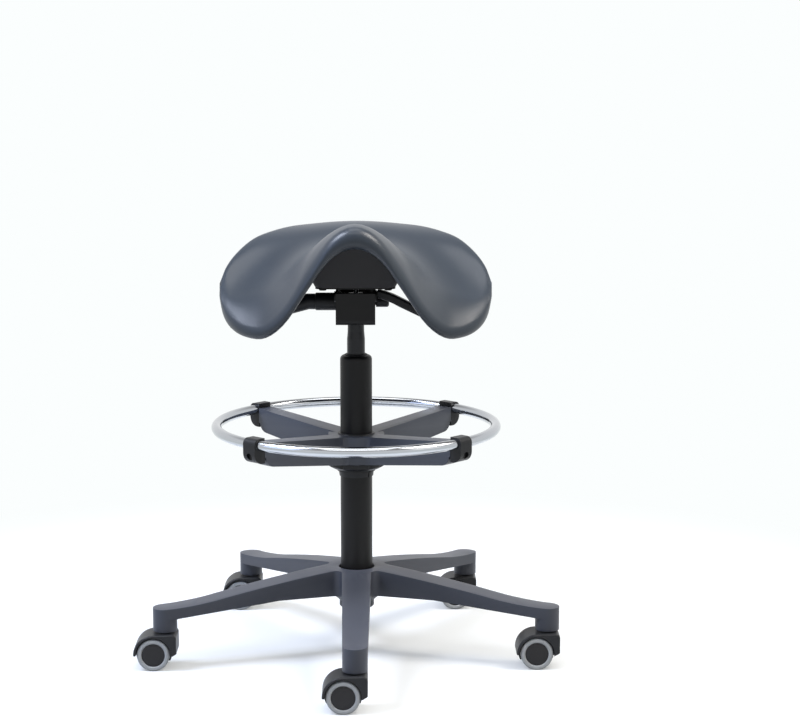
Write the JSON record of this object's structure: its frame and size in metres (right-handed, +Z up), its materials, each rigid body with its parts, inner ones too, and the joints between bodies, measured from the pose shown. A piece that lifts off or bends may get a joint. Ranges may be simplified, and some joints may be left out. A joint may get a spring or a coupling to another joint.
{
  "type": "saddle stool",
  "caption": "Height-adjustable saddle stool: five-leg caster base, gas lift, foot ring on four arms, tilting moulded saddle seat with height and tilt levers.",
  "frame": {"origin": "on the floor, under the axis of the column", "axes": "+Z up along the column, -Y to the front (the pommel of the seat and the leg that points at the viewer), +X to the sitter's left, the height lever's side in the picture's right"},
  "size_m": [0.6583, 0.6146, 0.6911],
  "materials": {
    "nylon_base": "moulded black nylon, fine spark texture",
    "zinc_steel": "bright zinc plate",
    "caster_nylon": "moulded black nylon",
    "wheel_nylon": "moulded black nylon",
    "soft_tread": "light grey soft tread, satin",
    "black_paint": "semi-gloss black powder coat",
    "black_paint_satin": "satin black paint",
    "bush_nylon": "black guide bush",
    "ground_steel": "ground and hardened rod",
    "rubber": "soft black rubber",
    "chrome": "bright chrome plate",
    "spider_nylon": "moulded black nylon",
    "clip_nylon": "moulded black nylon",
    "collet_nylon": "moulded black nylon",
    "black_powder": "matt black powder coat",
    "grip_plastic": "black grip plastic",
    "carrier_plastic": "black carrier moulding",
    "seat_skin": "moulded polyurethane skin over foam, slightly glossy, closed"
  },
  "bodies": {
    "base": {"base_star": "nylon_base", "caster_stems": "zinc_steel", "stand_tube": "black_paint", "guide_bush": "bush_nylon", "thrust_bearing": "zinc_steel"},
    "rod": {"piston_rod": "ground_steel", "thrust_washer": "zinc_steel", "rubber_buffer": "rubber", "rod_clip": "zinc_steel"},
    "carriage": {"gas_cylinder": "black_paint_satin", "mechanism_housing": "black_powder", "taper_socket": "black_powder", "tilt_pin": "zinc_steel"},
    "button": {"valve_button": "ground_steel"},
    "height_control": {"height_lever": "black_powder", "height_grip": "grip_plastic"},
    "tilt_control": {"tilt_lever": "black_powder", "tilt_sleeve": "grip_plastic", "clamp_knob": "grip_plastic"},
    "seat": {"seat_plate": "black_powder", "seat_shell": "carrier_plastic", "seat_inserts": "zinc_steel", "seat_bolts": "zinc_steel", "seat_cushion": "seat_skin"},
    "ring_sleeve": {"ring_collet": "collet_nylon"},
    "ring_frame": {"foot_ring": "chrome", "ring_spider": "spider_nylon", "ring_clips": "clip_nylon", "clip_screws": "zinc_steel"},
    "ring_twist": {"ring_lock": "collet_nylon"},
    "caster_1": {"caster_hood_1": "caster_nylon", "caster_axle_1": "zinc_steel"},
    "roller_1a": {"wheel_1a": "wheel_nylon", "tyre_1a": "soft_tread"},
    "roller_1b": {"wheel_1b": "wheel_nylon", "tyre_1b": "soft_tread"},
    "caster_2": {"caster_hood_2": "caster_nylon", "caster_axle_2": "zinc_steel"},
    "roller_2a": {"wheel_2a": "wheel_nylon", "tyre_2a": "soft_tread"},
    "roller_2b": {"wheel_2b": "wheel_nylon", "tyre_2b": "soft_tread"},
    "caster_3": {"caster_hood_3": "caster_nylon", "caster_axle_3": "zinc_steel"},
    "roller_3a": {"wheel_3a": "wheel_nylon", "tyre_3a": "soft_tread"},
    "roller_3b": {"wheel_3b": "wheel_nylon", "tyre_3b": "soft_tread"},
    "caster_4": {"caster_hood_4": "caster_nylon", "caster_axle_4": "zinc_steel"},
    "roller_4a": {"wheel_4a": "wheel_nylon", "tyre_4a": "soft_tread"},
    "roller_4b": {"wheel_4b": "wheel_nylon", "tyre_4b": "soft_tread"},
    "caster_5": {"caster_hood_5": "caster_nylon", "caster_axle_5": "zinc_steel"},
    "roller_5a": {"wheel_5a": "wheel_nylon", "tyre_5a": "soft_tread"},
    "roller_5b": {"wheel_5b": "wheel_nylon", "tyre_5b": "soft_tread"}
  },
  "joints": [
    {"name": "seat_swivel", "type": "hinge", "parent": "base", "child": "rod", "pos_m": [0, 0, 0.1], "axis": [0, 0, 1], "continuous": true},
    {"name": "seat_height", "type": "slide", "parent": "rod", "child": "carriage", "axis": [0, 0, 1], "range_m": [-0.04, 0.22]},
    {"name": "valve_press", "type": "slide", "parent": "carriage", "child": "button", "axis": [0, 0, 1], "range_m": [-0.0023, 0]},
    {"name": "height_lift", "type": "hinge", "parent": "carriage", "child": "height_control", "pos_m": [0.019, 0, 0.574], "axis": [0, 1, 0], "range_deg": [-6, 0], "stiffness_Nm_per_rad": 2, "springref_deg": 5.73},
    {"name": "tilt_clamp", "type": "hinge", "parent": "carriage", "child": "tilt_control", "pos_m": [0, 0.038, 0.554], "axis": [1, 0, 0], "range_deg": [0, 60]},
    {"name": "seat_tilt", "type": "hinge", "parent": "carriage", "child": "seat", "pos_m": [0, -0.042, 0.572], "axis": [1, 0, 0], "range_deg": [-5, 10]},
    {"name": "ring_height", "type": "slide", "parent": "base", "child": "ring_sleeve", "axis": [0, 0, 1], "range_m": [-0.11, 0.08]},
    {"name": "ring_turn", "type": "hinge", "parent": "ring_sleeve", "child": "ring_frame", "pos_m": [0, 0, 0.35], "axis": [0, 0, 1], "continuous": true},
    {"name": "ring_release", "type": "hinge", "parent": "ring_sleeve", "child": "ring_twist", "pos_m": [0, 0, 0.3], "axis": [0, 0, 1], "range_deg": [-90, 0]},
    {"name": "caster_swivel_1", "type": "hinge", "parent": "base", "child": "caster_1", "pos_m": [0, -0.311, 0.05], "axis": [0, 0, 1], "continuous": true},
    {"name": "wheel_spin_1a", "type": "hinge", "parent": "caster_1", "child": "roller_1a", "pos_m": [-0.017, -0.311, 0.025], "axis": [0, 1, 0], "continuous": true},
    {"name": "wheel_spin_1b", "type": "hinge", "parent": "caster_1", "child": "roller_1b", "pos_m": [-0.017, -0.311, 0.025], "axis": [0, 1, 0], "continuous": true},
    {"name": "caster_swivel_2", "type": "hinge", "parent": "base", "child": "caster_2", "pos_m": [0.29578, -0.0961, 0.05], "axis": [0, 0, 1], "continuous": true},
    {"name": "wheel_spin_2a", "type": "hinge", "parent": "caster_2", "child": "roller_2a", "pos_m": [0.27878, -0.0961, 0.025], "axis": [0, 1, 0], "continuous": true},
    {"name": "wheel_spin_2b", "type": "hinge", "parent": "caster_2", "child": "roller_2b", "pos_m": [0.27878, -0.0961, 0.025], "axis": [0, 1, 0], "continuous": true},
    {"name": "caster_swivel_3", "type": "hinge", "parent": "base", "child": "caster_3", "pos_m": [0.1828, 0.2516, 0.05], "axis": [0, 0, 1], "continuous": true},
    {"name": "wheel_spin_3a", "type": "hinge", "parent": "caster_3", "child": "roller_3a", "pos_m": [0.1658, 0.2516, 0.025], "axis": [0, 1, 0], "continuous": true},
    {"name": "wheel_spin_3b", "type": "hinge", "parent": "caster_3", "child": "roller_3b", "pos_m": [0.1658, 0.2516, 0.025], "axis": [0, 1, 0], "continuous": true},
    {"name": "caster_swivel_4", "type": "hinge", "parent": "base", "child": "caster_4", "pos_m": [-0.1828, 0.2516, 0.05], "axis": [0, 0, 1], "continuous": true},
    {"name": "wheel_spin_4a", "type": "hinge", "parent": "caster_4", "child": "roller_4a", "pos_m": [-0.1998, 0.2516, 0.025], "axis": [0, 1, 0], "continuous": true},
    {"name": "wheel_spin_4b", "type": "hinge", "parent": "caster_4", "child": "roller_4b", "pos_m": [-0.1998, 0.2516, 0.025], "axis": [0, 1, 0], "continuous": true},
    {"name": "caster_swivel_5", "type": "hinge", "parent": "base", "child": "caster_5", "pos_m": [-0.29578, -0.0961, 0.05], "axis": [0, 0, 1], "continuous": true},
    {"name": "wheel_spin_5a", "type": "hinge", "parent": "caster_5", "child": "roller_5a", "pos_m": [-0.31278, -0.0961, 0.025], "axis": [0, 1, 0], "continuous": true},
    {"name": "wheel_spin_5b", "type": "hinge", "parent": "caster_5", "child": "roller_5b", "pos_m": [-0.31278, -0.0961, 0.025], "axis": [0, 1, 0], "continuous": true}
  ],
  "couplings": [
    {"joint": "valve_press", "follows": "height_lift", "m_per_rad": 0.0205}
  ]
}
